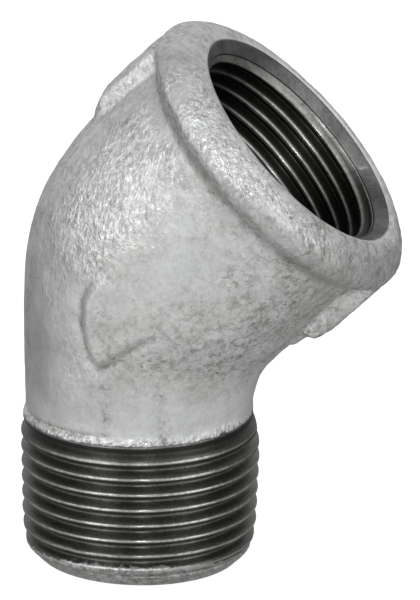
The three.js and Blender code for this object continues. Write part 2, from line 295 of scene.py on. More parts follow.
def male_r(z, angle):
    z, angle = spread(z, angle)
    form = profile(male_phase(z, angle))
    points = point(z, 13.0, angle)
    thread = MAJOR_R + (z - GAUGE_Z) * TAPER - THREAD_DEPTH * form
    tears = np.maximum(noise(points, (1.1, 1.1, 1.6), seed=5) - 0.62, 0)
    thread = (thread + 0.012 * noise(points, (0.5, 0.5, 2.5), seed=3, octaves=2)
              - 0.05 * tears * (1 - form))
    above = z - zinc_edge(angle)
    stock = outer_r(z, angle) - SKIN - IRON_GAP - 0.22 * ease(0.3, 0.6, above)
    radius = stock - np.maximum(stock - thread, 0) * (1 - ease(-0.25, 0.2, above))

    # The first turn is broken by the chamfer: a flattened crest and a half filled root
    ragged = noise(points, 0.5, seed=8, octaves=3)
    height = end_height(z, angle)
    first = 1 - ease(1.75, 2.3, height + 0.12 * ragged)
    floor_r = (12.42 - 0.16 * hump(height, 1.42, 0.16)
               + 0.02 * noise(points, 1.4, seed=13, octaves=2))
    radius = radius + np.maximum(floor_r - radius, 0) * first
    radius = np.minimum(radius, 12.38 + 0.15 * z + 0.05 * ragged)
    rough = 0.06 * ragged + 0.03 * noise(points, 1.3, seed=9, octaves=2)
    return np.minimum(radius, END_CHAMFER_R + z + rough * ease(0.1, 0.6, z))


def chamfer_r(depth):
    return CHAMFER_R - (CHAMFER_R - CHAMFER_IN_R) / CHAMFER_DEPTH * depth


def female_r(along, angle):
    """socket radius below the mouth chamfer: lead-in cone, thread, then waterway"""
    along, angle = spread(along, angle)
    depth = MOUTH - along
    radius = MINOR_R + THREAD_DEPTH * profile(female_phase(depth, angle))
    cone = CHAMFER_IN_R - LEAD_CONE * (depth - CHAMFER_DEPTH)
    radius = cone + (radius - cone) * ease(CHAMFER_DEPTH, LEAD_END, depth)
    radius = radius + 0.004 * noise(point(along, 12.5, angle), 0.6, seed=21, octaves=2)
    to_end = ease(SOCKET_THREAD_DEPTH, SOCKET_END_DEPTH, depth)
    return radius + (WATERWAY_R + SKIN - radius) * to_end


class Loft:
    """one closed skin made of rings; every ring has the same number of points"""

    def __init__(self, columns, attributes):
        self.columns = columns
        self.angle = np.arange(columns) * 2 * math.pi / columns
        self.points, self.count = [], 0
        self.faces, self.slots = [], []
        self.attributes = {name: [] for name in attributes}

    def add(self, points, **values):
        """adds points and returns their indices; attributes not given are 0"""
        points = np.asarray(points, float).reshape(-1, 3)
        ids = np.arange(self.count, self.count + len(points))
        self.points.append(points)
        self.count += len(points)
        for name, parts in self.attributes.items():
            parts.append(np.full(len(points), values.get(name, 0.0), float))
        return ids

    def quads(self, first, second, third, fourth, slot):
        """faces between four index arrays; those with a collapsed side become triangles"""
        quad = np.stack([np.ravel(first), np.ravel(second), np.ravel(third), np.ravel(fourth)], 1)
        left, right = quad[:, 0] == quad[:, 3], quad[:, 1] == quad[:, 2]
        for faces in (quad[~left & ~right],
                      quad[left & ~right][:, [0, 1, 2]],
                      quad[~left & right][:, [0, 1, 3]]):
            if len(faces):
                self.faces.append(faces)
                self.slots.append(np.full(len(faces), slot, np.int32))

    def band(self, low, high, slot=0):
        self.quads(low, np.roll(low, -1), np.roll(high, -1), high, slot)

    def extend(self, previous, points, slot=0, **values):
        """adds a ring and joins it to the previous one"""
        ring = self.add(points, **values)
        self.band(previous, ring, slot)
        return ring

    def grid(self, rings):
        for low, high in zip(rings[:-1], rings[1:]):
            self.band(low, high)

    def helix(self, low_ring, high_ring, low, high, origin, phases, sign, place, slot, margin=0.03):
        """rows that follow the thread between two rings

        sign is +1 if a row climbs with the angle; place(value, angle) gives points and attributes
        """
        first = math.floor((low - origin) / PITCH) - 2
        last = math.ceil((high - origin) / PITCH) + 2
        turns = range(first, last + 1)
        rows = np.array([origin + (turn + phase) * PITCH for turn in turns for phase in phases])
        value = rows[:, None] + sign * PITCH * np.arange(self.columns)[None] / self.columns
        below, above = value < low + margin, value > high - margin
        ids = np.where(below, low_ring[None], np.where(above, high_ring[None], -1))
        free = ids < 0
        angle = np.broadcast_to(self.angle[None], value.shape)
        points, values = place(value[free], angle[free])
        ids[free] = self.add(points, **values)
        # The last column joins the first column of the row one turn on
        following = np.roll(ids, -1, 1)
        for i in range(len(rows)):
            joined = i + sign * len(phases)
            if 0 <= joined < len(rows):
                following[i, -1] = ids[joined, 0]
            else:
                is_low = rows[i] + sign * PITCH < (low + high) / 2
                following[i, -1] = low_ring[0] if is_low else high_ring[0]
        self.quads(ids[:-1], following[:-1], following[1:], ids[1:], slot)

    def build(self, name):
        used = np.zeros(self.count, bool)
        for faces in self.faces:
            used[faces.ravel()] = True
        renumbered = np.cumsum(used) - 1
        points = ((np.concatenate(self.points) - np.array([AXIS_X, 0, 0])) / 1000)[used]
        mesh = bpy.data.meshes.new(name)
        mesh.vertices.add(len(points))
        mesh.vertices.foreach_set("co", points.astype(np.float32).ravel())
        loops = np.concatenate([renumbered[faces].ravel() for faces in self.faces])
        sizes = np.concatenate([np.full(len(faces), faces.shape[1]) for faces in self.faces])
        mesh.loops.add(len(loops))
        mesh.loops.foreach_set("vertex_index", loops.astype(np.int32))
        mesh.polygons.add(len(sizes))
        mesh.polygons.foreach_set("loop_start", (np.cumsum(sizes) - sizes).astype(np.int32))
        mesh.polygons.foreach_set("material_index", np.concatenate(self.slots))
        mesh.update(calc_edges=True)
        mesh.validate(verbose=True)
        mesh.shade_smooth()
        for key, parts in self.attributes.items():
            layer = mesh.attributes.new(key, "FLOAT", "POINT")
            layer.data.foreach_set("value", np.concatenate(parts)[used].astype(np.float32))
        return link(name, mesh)


def link(name, data):
    made = bpy.data.objects.new(name, data)
    bpy.context.scene.collection.objects.link(made)
    return made


# ---- relief, stains and painted light of the dipped surface ----
# Shared arguments: pad is mm inside the pad, above is mm above the zinc's lower edge

def crunch(points, along, deg):
    """share of coarse, crinkled zinc: strongest high on the back and along the bead"""
    body = (ease(192, 212, deg) * (1 - ease(246, 262, deg)) * ease(31, 36, along)
            * (1 - ease(47.5, 50.5, along)) * 0.9)
    bead = (ease(195, 225, deg) * (1 - 0.55 * ease(252, 285, deg)) * (1 - ease(292, 318, deg))
            * ease(5.2, 3.6, MOUTH - along))
    far_side = (ease(0.0, 0.5, noise(points, 0.07, seed=67, octaves=2)) * ease(24, 30, along)
                * np.where((deg > 185) & (deg < 345), 0.0, 0.8))
    low = 0.35 * ease(19, 24, along) * ease(-0.1, 0.4, noise(points, 0.1, seed=68, octaves=2))
    spot = 0.9 * hump(along, 38.5, 1.6) * hump(deg, 251, 5)
    share = np.maximum.reduce([body, bead, far_side, low, spot])
    share = (share + 0.65 * hump(along, 54.5, 1.0) * hump(deg, 262, 34)
             - 0.3 * hump(along, 52.4, 0.8) * hump(deg, 245, 25))
    varied = share * (0.8 + 0.5 * noise(points, 0.2, seed=69, octaves=2))
    return np.clip(varied + 0.06, 0, 1.5)


def zinc_relief(points, along, deg, pad, above, crinkle):
    """proud (+) or low (-) in mm, along the surface normal"""
    relief = (0.055 * noise(points, 0.16, seed=31, octaves=2)
              + 0.03 * noise(points, 0.42, seed=37, octaves=2))
    relief += (0.01 + 0.06 * crinkle) * noise(points, 1.15, seed=41, octaves=2, gain=0.7)
    # the pad has a raised rim, a sunk middle and a groove round it
    fade = 1 - ease(31.5, 36, along)
    rim = hump(pad, 0.75, 0.55) * np.where(deg < 262, 1.0, 0.35) * fade
    relief += 0.28 * rim - 0.18 * ease(1.2, 2.4, pad) * fade
    relief -= 0.2 * hump(pad, -0.75, 0.5) * fade
    relief += 0.1 * ease(1.2, 2.4, pad) * fade * noise(points, 0.45, seed=47, octaves=2)
    # faint last cut above the zinc's edge, from 140 to 272 degrees
    relief -= (0.24 * hump(above, 0.95, 0.26) * ease(140, 175, deg)
               * (1 - ease(245, 272, deg)))
    # uneven lug tops
    lug = ((np.abs(np.cos(np.radians(deg))) > 0.9) * ease(41, 43, along)
           * (1 - ease(MOUTH - 5, MOUTH - 4, along)))
    relief += 0.07 * lug * noise(points, 0.55, seed=51, octaves=2)
    return relief


def grime(points, along, deg, pad, above):
    """share of grey oxide and stains, with painted shade in the groove round the pad and in the
    last cut
    """
    depth = MOUTH - along
    drip = 0.35 * noise(points, (1.2, 1.2, 0.12), seed=63, octaves=2)

    def drip_deg(seed):
        return deg + 3 * noise(points, 0.25, seed=seed)

    share = np.maximum.reduce([
        # crease under the bead, then painted shade in the groove round the pad
        0.9 * hump(depth, 4.6, 1.1),
        0.85 * hump(pad, -0.45, 0.45) * (1 - ease(31, 35, along)),
        # throat side, then the back
        0.65 * (0.5 + 0.5 * np.cos(np.radians(deg - 330))) ** 2 * ease(20, 30, along),
        0.35 * ease(222, 205, deg) * ease(20, 24, along),
        # painted shade in the last cut, then the zinc's lower edge and the mouth
        1.0 * hump(above, 0.95, 0.26) * ease(150, 180, deg) * (1 - ease(245, 270, deg)),
        0.55 * hump(above, 0.15, 0.35) * ease(262, 225, deg),
        0.4 * ease(1.6, 0.2, depth),
        # two drips above the thread
        ((0.5 + drip) * hump(drip_deg(64), 263, 3.0) * ease(15.5, 18, along)
         * (1 - ease(24, 28, along))),
        ((0.62 + drip) * hump(drip_deg(65), 292, 4.0) * ease(16, 19, along)
         * (1 - ease(26, 31, along))),
    ])
    clean = hump(along, 41, 8) * hump(deg, 272, 20)
    mottled = share + 0.3 * noise(points, 0.3, seed=61, octaves=3) * (0.3 + share)
    return np.clip(mottled * (1 - 0.8 * clean), 0, 1)


# Painted highlights and shade on the coat, partly the coat's own light and dark colour: amount,
# centre and width along, centre and width in degrees
PAINTED_LIGHT_AND_TONE_AREAS = (
    (-0.12, 51.1, 1.2, 240, 22), (-0.08, 50.6, 1.2, 272, 16), (-0.13, 49.9, 1.7, 243, 20),
    (0.22, 39.1, 0.8, 252.5, 3), (-0.04, 40.0, 9.0, 320, 20), (-0.33, 52.6, 2.6, 307, 28),
    (0.03, 53.0, 2.5, 238, 16), (0.36, 54.7, 1.0, 264, 32), (-0.1, 52.5, 0.9, 247, 20),
    (-0.04, 52.8, 1.0, 285, 22), (-0.16, 52.8, 2.5, 207, 12), (-0.06, 47.5, 3.0, 222, 10),
    (-0.1, 52.0, 3.0, 208, 12), (0.05, 41.0, 5.5, 233, 9), (-0.14, 49.0, 3.0, 248, 8),
    (0.07, 42.0, 5.0, 271, 10), (-0.17, 24.0, 4.0, 225, 10), (0.12, 22.0, 5.0, 287, 16),
    (0.22, 20.0, 5.0, 335, 18), (0.02, 19.0, 2.0, 232, 14), (0.1, 46.0, 4.0, 190, 8),
    (-0.12, 52.6, 2.5, 325, 12), (-0.1, 52.0, 2.4, 280, 9), (-0.13, 52.5, 2.0, 264, 8),
    (-0.06, 42.0, 6.0, 271, 14), (-0.1, 24.0, 4.0, 225, 12), (-0.1, 21.0, 5.0, 285, 20),
    (-0.05, 32.0, 3.0, 262, 8), (0.12, 34.0, 7.0, 196, 9), (-0.18, 24.0, 5.0, 206, 12),
)


def coat_painted_light_and_tone(along, deg):
    return 1 + sum(amount * hump(along, centre, width) * hump(deg, centre_deg, width_deg)
                   for amount, centre, width, centre_deg, width_deg in PAINTED_LIGHT_AND_TONE_AREAS)


# ---- outer zinc skin ----

def grid_normals(points):
    up = np.gradient(points, axis=0)
    across = np.roll(points, -1, 1) - np.roll(points, 1, 1)
    normal = np.cross(across, up)
    return normal / np.maximum(np.linalg.norm(normal, axis=-1, keepdims=True), 1e-12)


def build_outer_zinc():
    crown_depth = 0.75
    skin_base = 16.0
    rim_slope = 1.142  # fall of the radius per mm at the mouth
    loft = Loft(400, ("grime", "edge", "crunch", "lip", "tone"))
    ring = loft.angle
    edge_points = point(16, 12.9, ring)
    start = (zinc_edge(ring) + 0.06
             + 0.09 * noise(edge_points, 1.1, seed=71, octaves=3, gain=0.65)
             + 0.16 * np.maximum(noise(edge_points, 0.6, seed=73, octaves=2) - 0.25, 0))

    # rows evenly spaced over the outline at 235 degrees
    fine = np.linspace(skin_base, MOUTH - crown_depth, 4000)
    steps = np.hypot(np.diff(fine), np.diff(outer_r(fine, math.radians(235))))
    length = np.concatenate([[0], np.cumsum(steps)])
    stations = np.interp(np.linspace(0, length[-1], 202), length, fine)
    shift = (start - skin_base)[None] * (1 - ease(skin_base, 21.0, stations))[:, None]
    along = stations[:, None] + shift
    radius = outer_r(along, np.broadcast_to(ring[None], along.shape))

    # crowned rim, from the bead to the mouth
    inner_rim = CHAMFER_R + 0.05 * noise(point(MOUTH, CHAMFER_R, ring), 0.35, seed=81, octaves=2)
    part = np.linspace(0, 1, 17)[1:, None]
    crown = MOUTH - crown_depth * (1 - part) ** 2.6 - 0.06 * ease(0.9, 1.0, part) + 0 * ring[None]
    along = np.concatenate([along, crown])
    radius = np.concatenate([radius, radius[-1:] + (inner_rim[None] - radius[-1:]) * part])
    turned = np.concatenate([np.zeros(len(stations)), part[:, 0]])[:, None]

    angle = np.broadcast_to(ring[None], along.shape)
    deg = degrees(angle)
    points = point(along, radius, angle)
    pad = pad_inside(along, deg)
    above = along - zinc_edge(angle)
    from_start = along - start[None]
    on_body = 1 - ease(0.7, 1.0, turned)
    crinkle = crunch(points, along, deg)
    relief = (zinc_relief(points, along, deg, pad, above, crinkle)
              * ease(0, 0.5, from_start) * on_body)
    thin = -(SKIN - 0.03) * (1 - ease(0.0, 0.3, from_start))
    # painted highlight on the rim at the mouth, strongest on the far side near 82 degrees
    far = 0.15 + 0.85 * hump(deg, 82, 42)
    layers = {
        "grime": grime(points, along, deg, pad, above),
        "edge": (1 - ease(0.0, 1.4, from_start)) * (turned == 0),
        "crunch": crinkle * on_body,
        "tone": coat_painted_light_and_tone(along, deg),
        "lip": ease(0.8, 0.93, turned) * far,
    }
    points = points + grid_normals(points) * (relief + thin)[..., None]
    rings = [loft.add(row, **{name: layer[i] for name, layer in layers.items()})
             for i, row in enumerate(points)]
    loft.grid(rings)

    # over the mouth and back down the inside of the skin
    mouth = point(MOUTH - SKIN, inner_rim - rim_slope * SKIN, ring)
    last = loft.extend(rings[-1], mouth, grime=0.3, lip=far[0], tone=1.0)
    last = loft.extend(last, point(MOUTH - SKIN, outer_r(MOUTH, ring) - SKIN, ring))
    for station in HIDDEN + [18.2, 17.4]:
        last = loft.extend(last, point(station, outer_r(station, ring) - under(station), ring))
    for rise, extra, edge in ((0.6, 0.2, 0.0), (0.12, 0.0, 0.0), (0.0, 0.0, 1.0)):
        foot_r = outer_r(start + rise, ring) - SKIN - extra
        last = loft.extend(last, point(start + rise, foot_r, ring), edge=edge)
    loft.band(last, rings[0])
    return loft.build("outer_zinc_skin")


# ---- iron casting ----

THREAD_SLOT, END_SLOT, MOUTH_SLOT, SOCKET_SLOT = range(4)


# share away from the front: 0 at 272 degrees, 1 at the back
def off_front_share(deg):
    return 1 - hump(deg, 272, 48)


def place_male(z, angle):
    phase = male_phase(z, angle)
    above_crest = phase - np.floor(phase)
    # painted shade on the lower flank of each turn, and within 1.9 mm under the zinc's edge
    lower = ease(0.55, 0.66, above_crest) * (1 - ease(0.93, 0.985, above_crest))
    lower = np.maximum(lower, 0.6 * ease(1.9, 0.9, zinc_edge(angle) - z))
    deg = degrees(angle)
    # painted highlights on the crests near 262, 287 and 304 degrees, and painted shade more than 42
    # to 64 degrees from 272
    wear_and_painted_light = (0.75 + 0.5 * hump(deg, 262, 9) + 0.3 * hump(deg, 287, 5)
            + 0.75 * hump(deg, 304, 10) - 0.16 * ease(42, 64, np.abs((deg - 92) % 360 - 180)))
    return point(z, male_r(z, angle), angle), {
        "cut": profile(phase), "end": end_height(z, angle), "under": lower,
        "soot": off_front_share(deg), "tone": wear_and_painted_light}


def mouth_painted_highlight(angle):
    """painted highlight on the turned lead-in, brightest near 72 degrees, weaker near 200 degrees
    """
    deg = degrees(angle)
    return 0.48 + 0.42 * hump(deg, 72, 30) + 0.15 * hump(deg, 200, 60)


def socket_thread_painted_light(depth, angle):
    # painted light on the socket thread: brighter crest lines deep in near 86 degrees, and the
    # lead-in's painted highlight near the mouth
    deep = 0.28 + 1.1 * hump(degrees(angle), 86, 27)
    ledge = 1.2 * mouth_painted_highlight(angle)
    return ledge + (deep - ledge) * ease(1.8, 2.8, depth)


def place_female(depth, angle):
    form = profile(female_phase(depth, angle))
    return point(MOUTH - depth, female_r(MOUTH - depth, angle), angle), {
        "cut": form * ease(CHAMFER_DEPTH, LEAD_END, depth), "tone": socket_thread_painted_light(depth, angle)}


def build_casting():
    thread_low, thread_top = 0.05, 17.9
    loft = Loft(320, ("cut", "end", "under", "soot", "tone"))
    ring = loft.angle

    # male end face and thread
    face_in = loft.add(point(0, bore_r(0) + SKIN + BORE_GAP, ring))
    last = face_in
    for radius in (10.4, END_CHAMFER_R - 0.05):
        last = loft.extend(last, point(0, radius, ring), END_SLOT)
    low = loft.extend(last, point(thread_low, END_CHAMFER_R + 0.03, ring), END_SLOT,
                      end=end_height(thread_low, ring), soot=off_front_share(np.degrees(ring)))
    top = loft.add(point(thread_top, male_r(thread_top, ring), ring), end=thread_top)
    loft.helix(low, top, thread_low, thread_top, MALE_CREST_Z, MALE_ROWS, 1, place_male,
               THREAD_SLOT)

    # hidden outside, up to the mouth
    last = top
    for station in HIDDEN[::-1]:
        radius = outer_r(station, ring) - under(station) - IRON_GAP
        last = loft.extend(last, point(station, radius, ring))
    rim_r = outer_r(MOUTH, ring) - SKIN - IRON_GAP
    last = loft.extend(last, point(MOUTH - SKIN - IRON_GAP, rim_r, ring))

    # chamfer, with one light scratch at 53 degrees
    lip_depth = SKIN + IRON_GAP
    # painted highlight on the chamfer and lead-in, brightest near 72 degrees
    tone = mouth_painted_highlight(ring)
    scratch = 0.7 * hump(np.degrees(ring), 53, 0.9)
    last = loft.extend(last, point(MOUTH - lip_depth, chamfer_r(lip_depth) - 0.01, ring),
                       MOUTH_SLOT, tone=tone)
    for depth in np.linspace(lip_depth, CHAMFER_DEPTH, 9)[1:]:
        rough = noise(point(MOUTH - depth, 13.5, ring), 0.8, seed=95, octaves=2)
        last = loft.extend(last, point(MOUTH - depth, chamfer_r(depth) + 0.008 * rough, ring),
                           MOUTH_SLOT, tone=tone + (scratch if 0.35 < depth < 0.95 else 0))

    # small groove under the chamfer: depth, added radius, cut
    # a cut of 0.55 gives the groove the flanks' dark colour, as painted shade
    for depth, deeper, cut in ((1.235, 0.045, 0.55), (1.27, 0.06, 0.55), (1.31, 0.02, 0.0),
                               (THREAD_START, 0.0, 0.0)):
        radius = female_r(MOUTH - depth, ring) + deeper
        last = loft.extend(last, point(MOUTH - depth, radius, ring), SOCKET_SLOT,
                           cut=cut, tone=tone)

    # socket thread, then the hidden bore
    foot = loft.add(point(SOCKET_END, WATERWAY_R + SKIN, ring))
    loft.helix(last, foot, THREAD_START, SOCKET_END_DEPTH, FEMALE_CREST_DEPTH, FEMALE_ROWS, -1,
               place_female, SOCKET_SLOT)
    last = foot
    for station in BORE_STATIONS[::-1]:
        last = loft.extend(last, point(station, bore_r(station) + SKIN + BORE_GAP, ring))
    loft.band(last, face_in)
    return loft.build("casting_with_threads")


# ---- zinc in the waterway ----

def build_bore_zinc():
    start = 0.02
    loft = Loft(200, ("grime", "tone"))
    stations = np.linspace(start, SOCKET_END, 150)
    along, angle = spread(stations[:, None], loft.angle[None])
    points = point(along, bore_r(along), angle)
    lumps = (0.06 * noise(points, 0.25, seed=101, octaves=2)
             + 0.03 * noise(points, 0.8, seed=103, octaves=2))
    lumps *= ease(0.0, 1.0, along) * ease(SOCKET_END, SOCKET_END - 1, along)
    points = point(along, bore_r(along) - lumps - 0.02, angle)
    inner = [loft.add(row, grime=0.3, tone=1.0) for row in points]
    outer = [loft.add(point(station, bore_r(station) + SKIN, loft.angle))
             for station in np.concatenate([[start], BORE_STATIONS, [SOCKET_END]])]
    loft.grid(outer)
    loft.band(outer[-1], inner[-1])
    loft.grid(inner[::-1])
    loft.band(inner[0], outer[0])
    return loft.build("waterway_zinc_skin")


zinc_object = build_outer_zinc()
iron_object = build_casting()
bore_object = build_bore_zinc()


# ---- materials ----

class Nodes:
    """builds one shader tree; an input may be a number or another node's socket"""

    def __init__(self, owner):
        owner.use_nodes = True
        self.tree = owner.node_tree
        self.tree.nodes.clear()

    def new(self, kind, inputs=None, **settings):
        made = self.tree.nodes.new("ShaderNode" + kind)
        for key, value in settings.items():
            setattr(made, key, value)
        for key, value in (inputs or {}).items():
            self.feed(made.inputs[key], value)
        return made

    def feed(self, socket, value):
        if isinstance(value, bpy.types.NodeSocket):
            self.tree.links.new(value, socket)
        else:
            socket.default_value = value

    def add(self, kind, inputs=None, out=0, **settings):
        return self.new(kind, inputs, **settings).outputs[out]

    @cached_property
    def millimetres(self):
        place = self.add("TexCoord", out="Object")
        return self.add("VectorMath", {0: place, "Scale": 1000.0}, operation="SCALE")

    def noise(self, scale, detail=2.0, rough=0.5, distortion=0.0, stretch=None):
        place = self.millimetres
        if stretch is not None:
            place = self.add("VectorMath", {0: place, 1: stretch}, operation="MULTIPLY")
        return self.add("TexNoise", {
            "Vector": place, "Scale": scale, "Detail": detail, "Roughness": rough,
            "Distortion": distortion}, out="Fac", noise_dimensions="3D")

    def ramp(self, value, start, end, low=0.0, high=1.0):
        """smooth change from low at start to high at end"""
        return self.add("MapRange", {
            "Value": value, "From Min": start, "From Max": end, "To Min": low, "To Max": high},
            interpolation_type="SMOOTHSTEP")

    def remap(self, value, low, high):
        return self.add("MapRange", {"Value": value, "To Min": low, "To Max": high})

    def mix(self, share, first, second, blend="MIX"):
        made = self.new("Mix", data_type="RGBA", blend_type=blend)
        sockets = {socket.identifier: socket for socket in made.inputs}
        for key, value in (("Factor_Float", share), ("A_Color", first), ("B_Color", second)):
            self.feed(sockets[key], value)
        return next(out for out in made.outputs if out.identifier == "Result_Color")

    def grey(self, value):
        return self.add("CombineColor", {0: value, 1: value, 2: value})

    def shade(self, color, value, share=1.0):
        return self.mix(share, color, self.grey(value), "MULTIPLY")

    def math(self, operation, first, second=0.0, third=0.0, clamp=False):
        return self.add("Math", {0: first, 1: second, 2: third},
                        operation=operation, use_clamp=clamp)

    def times(self, value, factor, clamp=False):
        return self.math("MULTIPLY", value, factor, clamp=clamp)

    def times_plus(self, value, factor, offset, clamp=False):
        return self.math("MULTIPLY_ADD", value, factor, offset, clamp)

    def larger(self, first, second, clamp=False):
        return self.math("MAXIMUM", first, second, clamp=clamp)

    def attribute(self, name):
        return self.add("Attribute", out="Fac", attribute_name=name)

    def value(self, number):
        made = self.add("Value")
        made.default_value = number
        return made

    def bump(self, height, distance):
        return self.add("Bump", {"Height": height, "Strength": 1.0, "Distance": distance})

    def surface(self, shader):
        self.new("OutputMaterial", {"Surface": shader})


def new_material(name):
    material = bpy.data.materials.new(name)
    return material, Nodes(material)


def grey(value, blue=0.0):
    """a constant grey; blue raises or lowers its third channel"""
    return (value, value, value * (1 + blue), 1)


def zinc_color(nodes, level, grime, crunch, edge, lip, tone):
    """colour of the coat, and the share of oxide blotches"""
    tint = nodes.ramp(nodes.noise(scale=0.11), 0.38, 0.62)
    base = nodes.mix(tint, (0.605 * level, 0.61 * level, 0.6 * level, 1),
                     (0.625 * level, 0.63 * level, 0.636 * level, 1))
    # clouds and grains, stronger where the coat is dirty or in painted shade, and where it is
    # crinkled
    cloud = nodes.ramp(nodes.noise(scale=0.4, detail=4, rough=0.62), 0.3, 0.7, 0.84, 1.08)
    busy = nodes.times_plus(nodes.larger(grime, crunch), 0.75, 0.22, clamp=True)
    base = nodes.shade(base, cloud, nodes.times_plus(busy, 0.8, 0.3, clamp=True))
    grains = nodes.ramp(nodes.noise(scale=2.1, detail=3, rough=0.7), 0.28, 0.72, 0.74, 1.18)
    base = nodes.shade(base, grains, busy)
    # painted highlights and shade, partly the coat's own light and dark colour
    base = nodes.shade(base, tone)
    # oxide blotches, pits and clustered flecks
    blotch = nodes.ramp(nodes.noise(scale=0.9, detail=5, rough=0.75, distortion=0.4), 0.47, 0.62)
    blotch = nodes.times(blotch, nodes.times_plus(grime, 1.1, 0.03), clamp=True)
    base = nodes.mix(blotch, base, (0.2, 0.2, 0.175, 1))
    pits = nodes.ramp(nodes.noise(scale=2.6, rough=0.6), 0.62, 0.74)
    pits = nodes.times(pits, nodes.times_plus(grime, 0.5, 0.1), clamp=True)
    base = nodes.mix(pits, base, (0.13, 0.13, 0.115, 1))
    cluster = nodes.ramp(nodes.noise(scale=0.24, detail=3, rough=0.6), 0.46, 0.62)
    fleck = nodes.ramp(nodes.noise(scale=1.7, detail=4, rough=0.78, distortion=0.6), 0.53, 0.64)
    fleck = nodes.times(nodes.times(cluster, fleck), nodes.times_plus(grime, 1.7, 0.12),
                        clamp=True)
    base = nodes.mix(fleck, base, (0.14, 0.14, 0.12, 1))
    # darker with the same share: oxide and stains, and painted shade in the pad's groove and the
    # last cut
    base = nodes.mix(nodes.times(grime, 0.3), base, (0.34, 0.34, 0.31, 1))
    # dark pits at the ragged lower edge, painted highlight on the rim at the mouth
    edge_pit = nodes.ramp(nodes.noise(scale=1.7, detail=4, rough=0.7), 0.5, 0.6)
    base = nodes.mix(nodes.times(edge_pit, nodes.times(edge, 0.65)), base, (0.12, 0.12, 0.11, 1))
    base = nodes.mix(nodes.times(lip, 0.7), base, (0.85, 0.86, 0.86, 1))
    # bright glints in the crinkles and slivers at the edge
    blob = nodes.times_plus(crunch, 0.11, nodes.noise(
        scale=1.6, rough=0.6, distortion=0.2, stretch=CRINKLE_STRETCH))
    glint = nodes.times(nodes.ramp(blob, 0.6, 0.7), nodes.ramp(crunch, 0.25, 0.8))
    sliver = nodes.ramp(nodes.noise(scale=1.3, detail=3, rough=0.65), 0.52, 0.6)
    glint = nodes.larger(glint, nodes.times(sliver, edge), clamp=True)
    base = nodes.mix(nodes.times(crunch, 0.16, clamp=True), base, (0.4, 0.4, 0.39, 1))
    return nodes.mix(nodes.times(glint, 0.42), base, (0.95, 0.96, 0.985, 1)), blotch


ZINC_MASKS = ("grime", "crunch", "edge", "lip", "tone")
CRINKLE_STRETCH = (1.15, 1.15, 0.72)


def zinc_shader(nodes, level, masks):
    """dipped zinc; level scales its brightness, masks holds a socket for each of ZINC_MASKS"""
    crunch, edge = masks["crunch"], masks["edge"]
    base, blotch = zinc_color(nodes, level, **masks)
    rough = nodes.ramp(nodes.noise(scale=0.35, detail=3), 0.35, 0.65, 0.36, 0.5)
    rough = nodes.times_plus(blotch, 0.15, rough, clamp=True)
    rough = nodes.larger(nodes.times_plus(crunch, -0.14, rough), 0.2)
    rough = nodes.times_plus(nodes.larger(edge, masks["lip"]), -0.12, rough, clamp=True)
    rippled = nodes.larger(crunch, nodes.times(edge, 1.3))
    strength = nodes.times_plus(rippled, 2.9, 0.28)
    ripple = nodes.noise(scale=1.9, distortion=0.3, stretch=CRINKLE_STRETCH)
    hair = nodes.noise(scale=5.5, detail=1)
    height = nodes.times(nodes.times_plus(hair, 0.22, ripple), strength)
    return nodes.add("BsdfPrincipled", {
        "Base Color": base, "Metallic": 0.72, "Roughness": rough,
        "Normal": nodes.bump(height, distance=0.00009)})


def zinc_material(name, level=1.0):
    material, nodes = new_material(name)
    masks = {mask: nodes.attribute(mask) for mask in ZINC_MASKS}
    nodes.surface(zinc_shader(nodes, level, masks))
    return material


def cut_shader(nodes, axis, crest, flank, crest_end, rough_low, rough_high, anisotropy, streak,
               wear, shade_mask=None):
    """metal cut by a threading tool: crests painted bright as highlights, flanks painted dark as
    shade, fine tool marks
    """
    cut = nodes.attribute("cut")
    tool = nodes.noise(scale=1.0, detail=3, rough=0.6, stretch=streak)
    # crests painted bright and flanks painted dark: painted highlights and shade
    base = nodes.mix(nodes.ramp(cut, 0.01, crest_end), grey(crest, -0.04), grey(flank, -0.1))
    base = nodes.mix(nodes.ramp(tool, 0.4, 0.66, 0.0, wear), base, grey(flank * 0.45))
    wear_and_painted_light = nodes.ramp(nodes.noise(scale=0.9, detail=3, rough=0.65), 0.45, 0.72, 0.0, wear)
    base = nodes.mix(wear_and_painted_light, base, (flank * 0.5, flank * 0.5, flank * 0.44, 1))
    speck = nodes.ramp(nodes.noise(scale=3.4, rough=0.7), 0.3, 0.7,
                       low=1 - 0.6 * wear, high=1 + 0.6 * wear)
    base = nodes.shade(base, speck)
    # painted highlights and shade from the vertex attribute
    base = nodes.shade(base, nodes.attribute("tone"))
    rough = nodes.ramp(cut, 0.02, 0.3, rough_low, rough_high)
    # painted shade, with higher roughness, where the shade mask is set
    if shade_mask is not None:
        base = nodes.mix(nodes.times(shade_mask, 0.85), base, grey(flank * 0.15))
        rough = nodes.times_plus(shade_mask, 0.25, rough, clamp=True)
    return brushed(nodes, axis, base, rough, anisotropy, nodes.bump(tool, distance=0.000012))


def brushed(nodes, axis, color, rough, anisotropy, normal):
    tangent = nodes.add("CombineXYZ", dict(enumerate(axis)))
    return nodes.add("BsdfPrincipled", {
        "Base Color": color, "Metallic": 1.0, "Roughness": rough, "Anisotropic": anisotropy,
        "Normal": normal, "Tangent": tangent})


MALE_AXIS, SOCKET_AXIS = (0.0, 0.0, 1.0), (math.sin(BEND), 0.0, math.cos(BEND))


